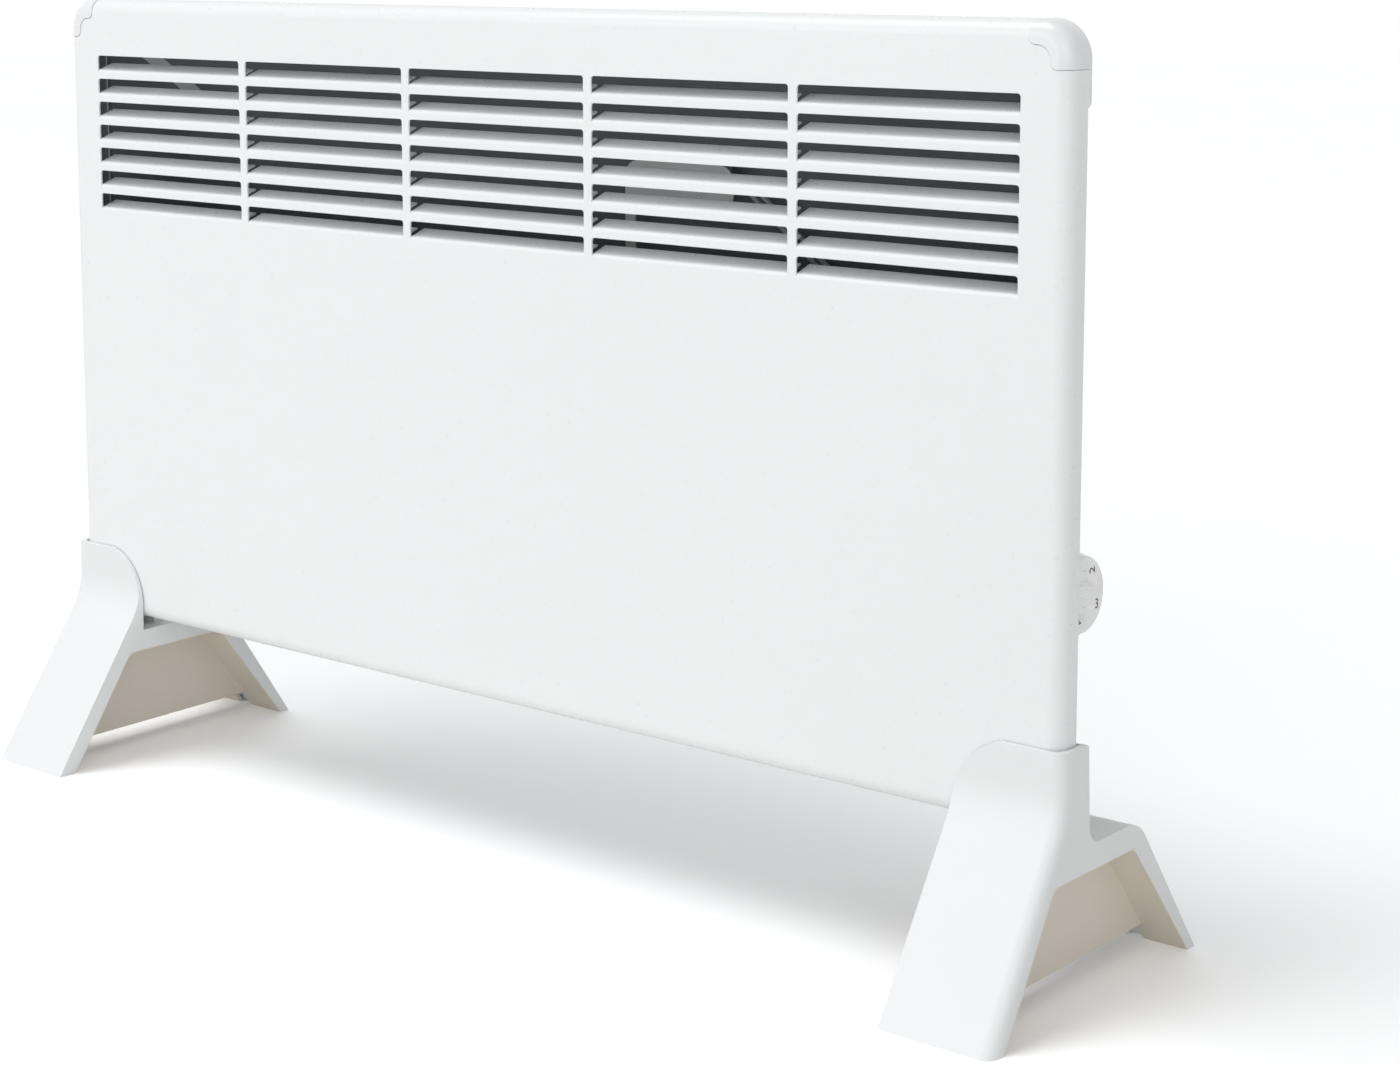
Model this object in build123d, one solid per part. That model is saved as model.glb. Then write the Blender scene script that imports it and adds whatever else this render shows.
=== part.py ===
from build123d import *
import os
from math import cos, hypot, radians, sin

# Louvred panel convector heater on two push-on feet, with its thermostat knob at the right-hand end.
# Millimetres, +Z up, front towards -Y. The origin is on the floor under the middle of the casing,
# midway between the feet's toes and heels. "Depth" is a distance behind the casing's front face.

# Casing and front cover
case_width = 719.0
case_height = 389.0
case_lift = 87.0  # floor to the casing's underside
edge_depth = 15.0  # turned edge of the front cover
cover_sheet = 1.0
outline_radius = 19.0
roll_radius = 8.0  # rolled front edge
lip_width = 18.0  # lip turned in behind the edge

# Louvres
louvre_columns = 5
louvre_rows = 7
louvre_width = 128.6
mullion_width = 5.4
slot_height = 9.1
slot_corner = 1.7
row_pitch = 14.3
louvre_drop = 34.5  # casing top to the first slot
blade_reach = 11.5
blade_rise = 4.0
bend_radius = 2.4
bend_room = 3.0  # height of land that the blade's bend takes up
bend_least = 0.2  # smallest inner bend

# Rear cover
rear_sheet = 1.0
rear_depth = 58.0  # front face to back face
rim_width = 8.0  # flat rim that lies on the front cover's lip
side_run = 26.0  # how far each end wall slopes in
top_run = 42.0
bottom_run = 30.0
hip_radius = 14.0
intake_width = 28.0
intake_height = 6.0
intake_pitch = 36.0
intake_count = 15
intake_depths = (24.0, 39.0)

# Wall fixings in the back
keyhole_spacing = 370.0
keyhole_drop = 150.0  # casing top to the keyhole's head
keyhole_head = 6.0
keyhole_slot = 3.2
keyhole_rise = 10.0
stay_hole = 3.1
stay_lift = 62.0  # casing underside to the lower fixing holes

# Corner caps
cap_leg = 23.0
cap_width = 11.5
cap_wall = 1.6
cap_proud = 0.4
cap_back = 2.2
cap_seam = 0.25
cap_hollow = 7.0  # inner curve between the legs
cap_toe = 3.5  # rounding at the end of each leg
tail_length = 19.0
tail_toe = 4.0  # rounding at the tail's lower end

# Feet
toe_reach = 70.0  # casing front to the toe
heel_depth = 124.0
knee_depth = 68.0
shelf_height = 80.0
socket_height = 130.0
brow_height = 98.0  # where the sloping front leg meets the upright socket
socket_clearance = 0.4
socket_wall = 2.5
side_wall = 3.0
hook_wall = 3.0
hook_start = 12.0  # inner face of the foot to the hook behind the lower lip
hook_rise = 8.5
foot_inset = 57.5  # casing end to the foot's inner face
foot_splay = 4.0
shoulder_radius = 34.0
brow_radius = 40.0
foot_round = 7.0
foot_skin = 2.8
front_band = 12.6  # level thickness of the front leg beside the arch
shelf_band = 13.0
knee_band = 14.0  # level thickness of the rear leg, top and bottom
heel_band = 7.0
socket_round = 9.0  # socket's back to the shelf
knee_round = 20.0
arch_front_round = 9.0
arch_rear_round = 8.0
web_inner = 27.5  # foot's inner face to the web
web_width = 16.0
web_clearance = 11.0  # floor to the web's lower edge
rib_width = 3.0
hook_corner = 2.0
foot_bend = 0.6  # share of the splay on the foot's inner side

# Heating element
element_depth = 33.0
element_lift = 76.0  # casing underside to the element's axis
element_inset = 60.0  # casing's left end to the left bracket
bracket_sheet = 1.5
bracket_width = 34.0
bracket_foot = 16.0
fin_count = 8
fin_radius = 18.5
fin_thickness = 1.6
fin_gap = 10.0  # fins to the bracket
tube_radius = 7.0
core_radius = 4.5
core_overhang = 14.0
bush_radius = 7.5
bush_length = 9.0
terminal_length = 10.0
terminal_width = 6.3
terminal_thickness = 0.8
terminal_gap = 6.0  # right terminal to the control box
bush_collar = 2.5
bush_collar_rise = 2.0
rivet_reach = 9.6  # bracket's web to its rivets

# Thermal cut-out
cutout_x = 92.0
cutout_drop = 92.5  # casing top to the middle of the plate
cutout_plate_width = 74.0
cutout_plate_height = 20.0
cutout_plate_depth = 46.0
cutout_radius = 8.0
cutout_thickness = 7.0
cutout_leg_width = 7.0
cutout_leg_drop = 38.0
cutout_sheet = 1.2
cutout_tab = 11.0
cutout_flange_start = 11.0  # disc's middle to the top flange
cutout_flange_width = 17.0
plate_round = 9.0
plate_corner = 4.0
cutout_tab_reach = 5.0
cutout_tab_width = 3.0
cutout_tab_sheet = 0.8

# Control box
box_face_inset = 29.5  # casing end to the box's outer face
box_width = 72.0
box_front = 18.0
box_floor = 51.0  # casing underside to the box
box_height = 112.0
box_wall = 2.0
lid_thickness = 1.8
recess_cheek = 2.4
box_fit = 0.2
lid_gap = 0.4  # lid's end to the recess's mouth
boss_wall = 2.4
boss_height = 8.0
lead_clearance = 0.4
lead_slot_inset = (42.0, 14.0)  # box's outer face to the slot in its top
lead_slot_width = 13.0
box_screw_inset = (9.0, 10.0)

# Thermostat
knob_lift = 110.3  # casing underside to the knob's axis
knob_depth = 38.5
knob_radius = 20.4
knob_height = 17.7
knob_taper = 7.0  # height of the tapered part below the knob's face
knob_face_radius = 18.8
knob_rim = 1.6
knob_gap = 1.0
dish_radius = 12.6  # hollows each side of the grip bar
dish_depth = 3.4
dish_slope = 34.0
dish_corner = 1.6
bar_width = 8.6
bar_turn = 10.0  # bar below level, towards the back
spindle_radius = 3.0
spindle_fit = 0.05
spindle_depth = 16.0  # spindle inside the thermostat
thermostat_width = 30.0
thermostat_thickness = 24.0
thermostat_height = 34.0
neck_radius = 5.0
neck_length = 2.6
spindle_end_gap = 0.3
spindle_cover = 2.5  # knob's face over the spindle's end
knob_wall = 2.2

# Switch
switch_drop = 40.0  # knob's axis to the switch's middle
switch_width = 13.0
switch_height = 26.0
switch_body_depth = 20.0
bezel_border = 1.6
bezel_thickness = 1.4
rocker_gap = 0.4
rocker_swing = 9.0
rocker_pin = 1.3
rocker_fit = 0.05
rocker_tail = 4.5  # pivot to the rocker's inner end
rocker_tail_half = 4.0
rocker_proud = 2.6
rocker_dip = 1.6
switch_wall = 1.5
bezel_edge = 0.5
rocker_room = 4.5  # rocker's inner end to the room's back
rocker_swing_gap = 0.9
rocker_inset = 2.0  # box's outer face to the rocker's pivot
pin_cover = 0.5
pin_end_gap = 0.1

# Terminals, cord inlet and fastenings
gland_x_inset = 16.0  # box's left side to the gland
gland_lift = 13.0
gland_radius = 6.0
gland_flange = 9.0
gland_flange_thickness = 3.0
gland_nose = 8.0
gland_bore = 3.8
gland_nose_rise = 0.8
gland_nose_round = 1.2
gland_thread = 3.0  # nut to the barrel's inner end
nut_radius = 8.5
nut_thickness = 4.0
block_width = 30.0
block_height = 18.0
block_thickness = 12.0
block_lift = 27.0
block_poles = 3
block_screw = 2.0
block_entry = 9.0  # box's back wall to the block's wire holes
block_entry_depth = 2.0
block_floor = 3.0  # box's back wall to the block's screws
block_sink = 2.0  # block's front to its screws' heads
block_inset = 4.0  # box's inner wall to the block
screw_slot = 0.8
wire_radius = 1.3
wire_bend = 6.0
short_bend = 4.0
lead_spacing = 6.0
return_depth = 40.0
return_lift = 24.0  # mouth's lower edge to the return lead
return_rise = 36.0  # box's underside to where the return lead enters
earth_stand = 6.0  # back's inner face to the front of the earth nut
earth_nut = 3.0
earth_nut_radius = 3.6
earth_collar = 2.8
lug_radius = 4.0
lug_thickness = 1.0
earth_rise = 40.0
earth_offset = 12.0  # box to the earth stud
clip_count = 3
clip_wall = 1.2
clip_width = 8.0
clip_inset = 50.0  # bracket and box to the end clips
screw_radius = 1.75
screw_head = 3.4
screw_head_height = 2.0
screw_reach = 5.0
screw_hole = 1.85
cross_reach = 2.2
cross_width = 0.8
cross_depth = 1.0
box_screw_reach = 9.0
rivet_head_height = 1.2
rivet_tail_height = 0.8
screws_per_long_side = 4
label_width = 74.0
label_height = 42.0
label_thickness = 0.3

# Places worked out from the sizes above
front_y = toe_reach - (toe_reach + heel_depth) / 2
half_width = case_width / 2
case_top = case_lift + case_height
case_middle = case_lift + case_height / 2
mouth_half = half_width - lip_width
mouth_top = case_top - lip_width
mouth_bottom = case_lift + lip_width
back_half = mouth_half - side_run
back_top = mouth_top - top_run
back_bottom = mouth_bottom + bottom_run
inner_back = rear_depth - rear_sheet
box_right = half_width - box_face_inset
box_left = box_right - box_width
box_low = case_lift + box_floor
box_top = box_low + box_height
knob_z = case_lift + knob_lift
switch_z = knob_z - switch_drop
element_z = case_lift + element_lift
bracket_left_x = element_inset - half_width
bracket_right_x = box_left - core_overhang - terminal_length - terminal_gap
gland_x = box_left + gland_x_inset
gland_z = box_low + gland_lift
cutout_z = case_top - cutout_drop
return_z = box_low + return_rise
earth_z = box_low + earth_rise
earth_x = box_left - earth_offset
earth_depth = inner_back - earth_stand - lug_thickness / 2
gland_inner = inner_back - box_wall - nut_thickness - gland_thread
rocker_x = box_right - rocker_inset
rib_top = case_lift - cap_proud
foot_wall_depth = -cap_proud - socket_clearance - socket_wall
foot_low = -2 * foot_skin
past = 10.0  # how far the foot's cutters run past it


def behind(distance):
    """Y of a place this far behind the casing's front face."""
    return front_y + distance


def outline(points, radii=0.0):
    """Closed face through the points, each corner rounded by its radius."""
    if isinstance(radii, (int, float)):
        radii = [radii] * len(points)
    return make_face(FilletPolyline(*points, radius=radii, close=True))


def along_x(face, start, end):
    """Prism of a (y, z) face between two x."""
    plane = Plane(origin=(start, 0, 0), x_dir=(0, 1, 0), z_dir=(1, 0, 0))
    return extrude(plane * face, amount=end - start)


def along_y(face, start, end):
    """Prism of an (x, z) face between two depths."""
    plane = Plane(origin=(0, behind(end), 0), x_dir=(1, 0, 0), z_dir=(0, -1, 0))
    return extrude(plane * face, amount=end - start)


def along_z(face, start, end):
    """Prism of an (x, y) face between two heights."""
    return extrude(Pos(0, 0, start) * face, amount=end - start)


def slab(x, depth, z):
    """Block between two x, two depths and two z."""
    size = (x[1] - x[0], depth[1] - depth[0], z[1] - z[0])
    middle = ((x[0] + x[1]) / 2, behind((depth[0] + depth[1]) / 2), (z[0] + z[1]) / 2)
    return Pos(*middle) * Box(*size)


def rod_x(depth, z, radius, start, end):
    """Round bar along X."""
    return along_x(Pos(behind(depth), z) * Circle(radius), start, end)


def rod_y(x, z, radius, start, end):
    """Round bar along Y, between two depths."""
    return along_y(Pos(x, z) * Circle(radius), start, end)


def wire(points, bend=wire_bend):
    """Insulated wire through (x, depth, z) points, with tangent bends."""
    spots = [(x, behind(depth), z) for x, depth, z in points]
    path = FilletPolyline(*spots, radius=bend)
    return sweep(Plane(origin=path @ 0, z_dir=path % 0) * Circle(wire_radius), path=path)


def mirrored(part):
    return mirror(part, about=Plane.YZ)


# ---- front cover


def casing_form(inset, start, end, roll):
    """The casing's rounded outline, inset all round, between two depths."""
    width = case_width - 2 * inset
    height = case_height - 2 * inset
    face = Pos(0, case_middle) * RectangleRounded(width, height, outline_radius - inset)
    form = along_y(face, start, end)
    return fillet(form.faces().sort_by(Axis.Y)[0].edges(), roll) if roll else form


def mouth_face(grow):
    """The hole inside the lip, grown all round."""
    width = 2 * (mouth_half + grow)
    height = mouth_top - mouth_bottom + 2 * grow
    return Pos(0, case_middle) * RectangleRounded(width, height, hip_radius + grow)


def louvre_spots():
    """Middle x and lower edge z of every slot."""
    column_pitch = louvre_width + mullion_width
    first_x = -column_pitch * (louvre_columns - 1) / 2
    first_z = case_top - louvre_drop - slot_height
    columns = [first_x + column_pitch * i for i in range(louvre_columns)]
    rows = [first_z - row_pitch * i for i in range(louvre_rows)]
    return [(x, z) for x in columns for z in rows]


def louvre_slot(x, z):
    """Cutter for one slot, down to where the blade's bend starts."""
    left, right = x - louvre_width / 2, x + louvre_width / 2
    low, top = z - bend_room, z + slot_height
    corners = [(left, low), (right, low), (right, top), (left, top)]
    face = outline(corners, [0, 0, slot_corner, slot_corner])
    return along_y(face, -1, cover_sheet + 1)


def louvre_blade(x, z):
    """Sheet turned in from the slot's lower edge and sloping up inside."""
    length = hypot(blade_reach, blade_rise)
    end_y = blade_reach + cover_sheet * blade_rise / length
    end_z = z + blade_rise - cover_sheet * blade_reach / length
    inner_z = end_z - (end_y - cover_sheet) * blade_rise / blade_reach
    profile = [
        (behind(0), z - bend_room),
        (behind(0), z),
        (behind(blade_reach), z + blade_rise),
        (behind(end_y), end_z),
        (behind(cover_sheet), inner_z),
        (behind(cover_sheet), z - bend_room),
    ]
    inner_bend = max(bend_radius - cover_sheet, bend_least)
    face = outline(profile, [0, bend_radius, 0, 0, inner_bend, 0])
    return along_x(face, x - louvre_width / 2, x + louvre_width / 2)


def cap_plan(grow, leg=cap_leg, width=cap_width, overhang=6.0):
    """L-shaped plan of the top right corner cap in the casing's outline, grown all round."""
    corner_x, corner_z = half_width, case_top
    out_x, out_z = corner_x + overhang, corner_z + overhang
    far_x, far_z = corner_x - leg - grow, corner_z - leg - grow
    near_x, near_z = corner_x - width - grow, corner_z - width - grow
    points = [
        (out_x, out_z),
        (far_x, out_z),
        (far_x, near_z),
        (near_x, near_z),
        (near_x, far_z),
        (out_x, far_z),
    ]
    return outline(points, [0, 0, cap_toe, cap_hollow, cap_toe, 0])


def at_corners(part):
    """The top right corner's part, and its copies at the other three."""
    lower = mirror(part, about=Plane.XY.offset(case_middle))
    return {
        "top_right": part,
        "top_left": mirrored(part),
        "bottom_right": lower,
        "bottom_left": mirrored(lower),
    }


def front_cover():
    cover = casing_form(0, 0, edge_depth, roll_radius)
    cover -= casing_form(cover_sheet, cover_sheet, edge_depth - cover_sheet, roll_radius - cover_sheet)
    cover -= along_y(mouth_face(0), edge_depth - 2 * cover_sheet, edge_depth + 1)
    cover -= [louvre_slot(x, z) for x, z in louvre_spots()]
    cover += [louvre_blade(x, z) for x, z in louvre_spots()]
    notch = along_y(cap_plan(cap_seam), -1, edge_depth + 1)
    notch -= casing_form(cap_wall + cap_seam, edge_depth - cover_sheet, edge_depth, 0)
    cover -= list(at_corners(notch).values())
    lip_front = edge_depth - 2 * cover_sheet
    return cover - [rod_y(x, z, screw_hole, lip_front, edge_depth + 1) for x, z in case_screw_spots()]


def case_screw_spots():
    """Screws along the rim, half way across its width."""
    side_x = mouth_half + rim_width / 2
    top_z = mouth_top + rim_width / 2
    bottom_z = mouth_bottom - rim_width / 2
    step = 2 * mouth_half / screws_per_long_side
    xs = [step * (i + 0.5) - mouth_half for i in range(screws_per_long_side)]
    ends = [(x, case_middle) for x in (-side_x, side_x)]
    return [(x, z) for z in (top_z, bottom_z) for x in xs] + ends


def case_screws():
    return [pan_screw(x, z, edge_depth + rear_sheet, screw_reach) for x, z in case_screw_spots()]


def pan_screw(x, z, seat, reach):
    """Pan-head screw driven forwards, its head standing on a seat at this depth."""
    head = rod_y(x, z, screw_head, seat, seat + screw_head_height)
    head = fillet(head.faces().sort_by(Axis.Y)[-1].edges(), screw_head_height * 0.6)
    half = cross_width / 2
    depth = (seat + screw_head_height - cross_depth, seat + screw_head_height + 1)
    cross = slab((x - cross_reach, x + cross_reach), depth, (z - half, z + half))
    cross += slab((x - half, x + half), depth, (z - cross_reach, z + cross_reach))
    return head + rod_y(x, z, screw_radius, seat - reach, seat) - cross


# ---- corner caps


def corner_cap():
    """Cap at the top right corner: a channel round the edge that hooks over the lip."""
    back = edge_depth + cap_back
    cap = casing_form(-cap_proud, -cap_proud, back, roll_radius) & along_y(cap_plan(0), -2, back)
    cap -= casing_form(cap_wall, cap_wall, edge_depth, roll_radius - cap_wall)
    beside_rim = along_y(cap_plan(0, width=cap_rear_width()), edge_depth - 1, back + 1)
    return cap - (along_y(cap_plan(0), edge_depth, back) - beside_rim)


def cap_rear_width():
    """Width of the cap's flange behind the lip, up to the rear cover's rim."""
    return lip_width - rim_width - 2 * cap_seam


def cap_tail():
    """Tongue of the upper caps, down behind the lip."""
    top = case_top - cap_leg + cap_toe
    low = case_top - cap_leg - tail_length
    right = half_width + cap_proud
    left = half_width - cap_rear_width()
    face = outline([(left, top), (left, low), (right, low), (right, top)], [0, tail_toe, tail_toe, 0])
    return along_y(face, edge_depth, edge_depth + cap_back)


# ---- rear cover


def tray(grow, back):
    """Tapering form of the rear cover, from the lip to a back face at this depth."""
    width, height = 2 * (mouth_half + grow), mouth_top - mouth_bottom + 2 * grow
    back_width, back_height = 2 * (back_half + grow), back_top - back_bottom + 2 * grow
    back_middle = (back_top + back_bottom) / 2
    mouth = Pos(0, case_middle) * RectangleRounded(width, height, hip_radius + grow)
    end = Pos(0, back_middle) * RectangleRounded(back_width, back_height, hip_radius + grow)
    front_plane, back_plane = (
        Plane(origin=(0, behind(depth), 0), x_dir=(1, 0, 0), z_dir=(0, -1, 0))
        for depth in (edge_depth, back)
    )
    return loft([front_plane * mouth, back_plane * end])


def intake_slots():
    """Rows of slots through the sloping underside, cut from below."""
    first = -intake_pitch * (intake_count - 1) / 2
    face = RectangleRounded(intake_width, intake_height, intake_height * 0.49)
    low, high = mouth_bottom - 5, back_bottom + 5
    xs = [first + intake_pitch * i for i in range(intake_count)]
    return [along_z(Pos(x, behind(y)) * face, low, high) for x in xs for y in intake_depths]


def keyholes():
    """Keyholes that hang the casing on two wall hooks, and two stay holes below them."""
    cuts = []
    start, end = inner_back - 1, rear_depth + 1
    head_z = case_top - keyhole_drop
    slot_z = head_z + keyhole_rise
    for x in (-keyhole_spacing / 2, keyhole_spacing / 2):
        cuts.append(rod_y(x, head_z, keyhole_head, start, end))
        cuts.append(rod_y(x, slot_z, keyhole_slot, start, end))
        cuts.append(slab((x - keyhole_slot, x + keyhole_slot), (start, end), (head_z, slot_z)))
        cuts.append(rod_y(x, case_lift + stay_lift, stay_hole, start, end))
    return cuts


def rear_cover():
    cover = tray(0, rear_depth)
    cover += along_y(mouth_face(rim_width), edge_depth, edge_depth + rear_sheet)
    cover -= tray(-rear_sheet, inner_back)
    cover -= along_y(mouth_face(-rear_sheet), edge_depth - 1, edge_depth + rear_sheet)
    window_x = (back_half - hip_radius, mouth_half + rim_width + 1)
    box_window = slab(window_x, (edge_depth - 1, inner_back), (box_low, box_top))
    cover -= intake_slots() + keyholes() + [box_window]
    cover -= [rod_y(x, z, screw_hole, edge_depth - 1, edge_depth + 3) for x, z in case_screw_spots()]
    start, end = inner_back - 1, rear_depth + 1
    cover -= [rod_y(x, z, screw_hole, start, end) for x, z in box_screw_spots()]
    cover -= [rod_y(x, z, screw_radius, start, end) for x, z in bracket_rivet_spots()]
    cover -= [rod_y(x, z, screw_radius, start, end) for x, z in cutout_rivet_spots()]
    return cover - rod_y(gland_x, gland_z, gland_radius, start, end)


# ---- feet


def foot_places():
    """The right foot's inner x, pocket's outer x, outer x, and the depth of its pocket's back."""
    inner = half_width - foot_inset
    pocket = half_width + cap_proud + socket_clearance
    return inner, pocket, pocket + side_wall, edge_depth + cap_back + socket_clearance


def toe_y(z):
    """Y of the front leg's face at a height."""
    return behind(-toe_reach) + z * (toe_reach + foot_wall_depth) / brow_height


def heel_y(z):
    """Y of the rear leg's back at a height."""
    return behind(heel_depth) - z * (heel_depth - knee_depth) / shelf_height


def foot_side():
    """Side outline: front leg, upright socket, shelf and rear leg, run on below the floor."""
    back = foot_places()[3] + hook_wall
    points = [
        (toe_y(foot_low), foot_low),
        (behind(foot_wall_depth), brow_height),
        (behind(foot_wall_depth), socket_height),
        (behind(back), socket_height),
        (behind(back), shelf_height),
        (behind(knee_depth), shelf_height),
        (heel_y(foot_low), foot_low),
    ]
    return outline(points, [0, brow_radius, 0, hook_corner, socket_round, knee_round, 0])


def foot_front(inset):
    """Front outline: it leans out towards the floor and has a round inner shoulder."""
    inner, _, outer, _ = foot_places()
    points = [
        (inner + foot_splay * foot_bend + inset, foot_low),
        (outer + foot_splay - inset, foot_low),
        (outer - inset, socket_height + 1),
        (inner + inset, socket_height + 1),
    ]
    return outline(points, [0, 0, 0, shoulder_radius])


def arch_side(grow):
    """The arch between the legs, grown all round and open at the floor."""
    top = shelf_height - shelf_band + grow
    front = [toe_y(z) + front_band - grow for z in (foot_low, top)]
    rear_low = heel_y(foot_low) - heel_band + grow
    rear_top = heel_y(top) - knee_band + grow
    points = [(front[0], foot_low), (front[1], top), (rear_top, top), (rear_low, foot_low)]
    return outline(points, [0, arch_front_round + grow, arch_rear_round + grow, 0])


def foot_form(side, inset):
    """Solid common to a side outline and the front outline."""
    inner, _, outer, _ = foot_places()
    leaning = along_y(foot_front(inset), -2 * toe_reach, 2 * heel_depth)
    return along_x(side, inner - past, outer + past) & leaning


def foot_recesses(grow):
    """Hollows of the arch on both sides of the web."""
    inner, _, outer, _ = foot_places()
    web_left = inner + web_inner
    web_right = web_left + web_width
    inner_hollow = along_x(arch_side(grow), inner - past, web_left + grow)
    return inner_hollow + along_x(arch_side(grow), web_right - grow, outer + past)


def foot_pocket():
    """Space that the casing's lower corner slides into, from above and from the inner side."""
    inner, pocket, _, back = foot_places()
    top = socket_height + 1
    front = -cap_proud - socket_clearance
    middle = slab((inner - past, pocket), (front, back), (shelf_height, top))
    corner = middle.edges().filter_by(Axis.Z).sort_by(lambda e: e.center().X - e.center().Y)[-1]
    space = fillet(corner, roll_radius - 2)
    far = back + hook_wall + socket_round + 1
    space += slab((inner - past, inner + hook_start), (back - 1, far), (shelf_height, top))
    rim_end = mouth_half + rim_width + cap_seam
    space += slab((inner, rim_end), (back - 1, far), (case_lift + hook_rise, top))
    return space


def right_foot():
    inner, _, outer, back = foot_places()
    foot = foot_form(foot_side(), 0)
    outer_face = foot.faces().filter_by(lambda f: f.normal_at().X > 0.9)
    front_edges = outer_face.edges().filter_by(lambda e: e.center().Y < behind(foot_wall_depth) + 0.5)
    foot = fillet([e for e in front_edges if e.center().Z > foot_low + 1], foot_round)
    foot -= foot_recesses(0)
    foot -= along_x(arch_side(0), inner - past, outer + past) & floor_layer(foot_low, web_clearance)
    inner_side = offset(foot_side(), amount=-foot_skin, kind=Kind.INTERSECTION)
    core = foot_form(inner_side, foot_skin) & floor_layer(foot_low, shelf_height - foot_skin)
    foot -= core - foot_recesses(foot_skin)
    foot -= foot_pocket()
    foot -= floor_layer(foot_low - 1, 0)
    rib_depth = (foot_wall_depth + 1, back + 1)
    for left in (inner + web_inner, inner + web_inner + web_width - rib_width):
        foot += slab((left, left + rib_width), rib_depth, (shelf_height - 1, rib_top))
    return foot


def floor_layer(low, high):
    """Slab that spans the whole foot between two heights."""
    return slab((0, case_width), (-2 * toe_reach, 2 * heel_depth), (low, high))


# ---- heating element


def element_bracket(x, side):
    """Angle on the rear cover's back, with a web that carries the bush; its foot turns to one side."""
    half = bracket_width / 2
    z = (element_z - half, element_z + half)
    web = slab((x - bracket_sheet / 2, x + bracket_sheet / 2), (element_depth - half, inner_back), z)
    foot = slab(sorted((x, x + side * bracket_foot)), (inner_back - bracket_sheet, inner_back), z)
    hole = rod_x(element_depth, element_z, bush_radius, x - bush_length / 2, x + bush_length / 2)
    bracket = web + foot - hole
    return bracket - [rod_y(rx, rz, screw_radius, 0, rear_depth) for rx, rz in bracket_rivet_spots()]


def bracket_rivet_spots():
    """Two rivets in each bracket's foot."""
    xs = (bracket_left_x + rivet_reach, bracket_right_x - rivet_reach)
    return [(x, element_z + up) for x in xs for up in (-bracket_width / 4, bracket_width / 4)]


def heating_fins():
    """Extruded body: a tube with straight fins all round."""
    start, end = bracket_left_x + fin_gap, bracket_right_x - fin_gap
    section = Circle(tube_radius)
    fin = Pos(fin_radius / 2, 0) * Rectangle(fin_radius, fin_thickness)
    for i in range(fin_count):
        section += Rot(0, 0, 360 / fin_count * i) * fin
    section -= Circle(core_radius)
    return along_x(Pos(behind(element_depth), element_z) * section, start, end)


def element_core():
    start, end = bracket_left_x - core_overhang, bracket_right_x + core_overhang
    return rod_x(element_depth, element_z, core_radius, start, end)


def element_bushes():
    """Ceramic bushes in the brackets, each with a collar on the fins' side."""
    bushes = []
    half = bush_length / 2
    face = bracket_sheet / 2
    for x, side in ((bracket_left_x, 1), (bracket_right_x, -1)):
        collar = sorted((x + side * face, x + side * (face + bush_collar)))
        bush = rod_x(element_depth, element_z, bush_radius, x - half, x + half)
        bush += rod_x(element_depth, element_z, bush_radius + bush_collar_rise, *collar)
        bushes.append(bush - rod_x(element_depth, element_z, core_radius, x - half - 1, x + half + 1))
    return bushes


def element_terminals():
    """Flat tabs on both ends of the core."""
    left, right = bracket_left_x - core_overhang, bracket_right_x + core_overhang
    depth = (element_depth - terminal_thickness / 2, element_depth + terminal_thickness / 2)
    z = (element_z - terminal_width / 2, element_z + terminal_width / 2)
    spans = ((left - terminal_length, left), (right, right + terminal_length))
    return [slab(span, depth, z) for span in spans]


# ---- thermal cut-out


def cutout_bracket():
    """Plate that stands off the back on one long leg and a top flange."""
    back = cutout_plate_depth + cutout_sheet
    left, right = cutout_x - cutout_plate_width / 2, cutout_x + cutout_plate_width / 2
    low, top = cutout_z - cutout_plate_height / 2, cutout_z + cutout_plate_height / 2
    leg_low = low - cutout_leg_drop
    corners = [(left, low), (right, low), (right, top), (left, top)]
    plate = outline(corners, [0, plate_corner, plate_round, plate_round])
    bracket = along_y(plate, cutout_plate_depth, back)
    leg = (left, left + cutout_leg_width)
    tab_depth = (inner_back - cutout_sheet, inner_back)
    bracket += slab(leg, (cutout_plate_depth, back), (leg_low, cutout_z))
    bracket += slab(leg, (back - 1, inner_back), (leg_low, leg_low + cutout_sheet))
    bracket += slab(leg, tab_depth, (leg_low - cutout_tab, leg_low + cutout_sheet))
    flange = (cutout_x + cutout_flange_start, cutout_x + cutout_flange_start + cutout_flange_width)
    bracket += slab(flange, (back - 1, inner_back), (top - cutout_sheet, top))
    bracket += slab(flange, tab_depth, (top - cutout_tab, top))
    return bracket - [rod_y(x, z, screw_radius, back, rear_depth) for x, z in cutout_rivet_spots()]


def cutout_rivet_spots():
    """Middles of the rivets in the leg's tab and in the top flange's tab."""
    leg_x = cutout_x - cutout_plate_width / 2 + cutout_leg_width / 2
    leg_z = cutout_z - cutout_plate_height / 2 - cutout_leg_drop - cutout_tab / 2
    flange_x = cutout_x + cutout_flange_start + cutout_flange_width / 2
    flange_z = cutout_z + cutout_plate_height / 2 - cutout_tab / 2
    return [(leg_x, leg_z), (flange_x, flange_z)]


def thermal_cutout():
    """Bimetal disc switch behind the plate, with two tabs to its right."""
    start = cutout_plate_depth + cutout_sheet
    body = rod_y(cutout_x, cutout_z, cutout_radius, start, start + cutout_thickness)
    middle = start + cutout_thickness / 2
    tab = (cutout_x + cutout_radius - 2, cutout_x + cutout_radius + cutout_tab_reach)
    depth = (middle - cutout_tab_width / 2, middle + cutout_tab_width / 2)
    for tab_z in (cutout_z - lead_spacing / 2, cutout_z + lead_spacing / 2):
        body += slab(tab, depth, (tab_z - cutout_tab_sheet / 2, tab_z + cutout_tab_sheet / 2))
    return body


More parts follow.
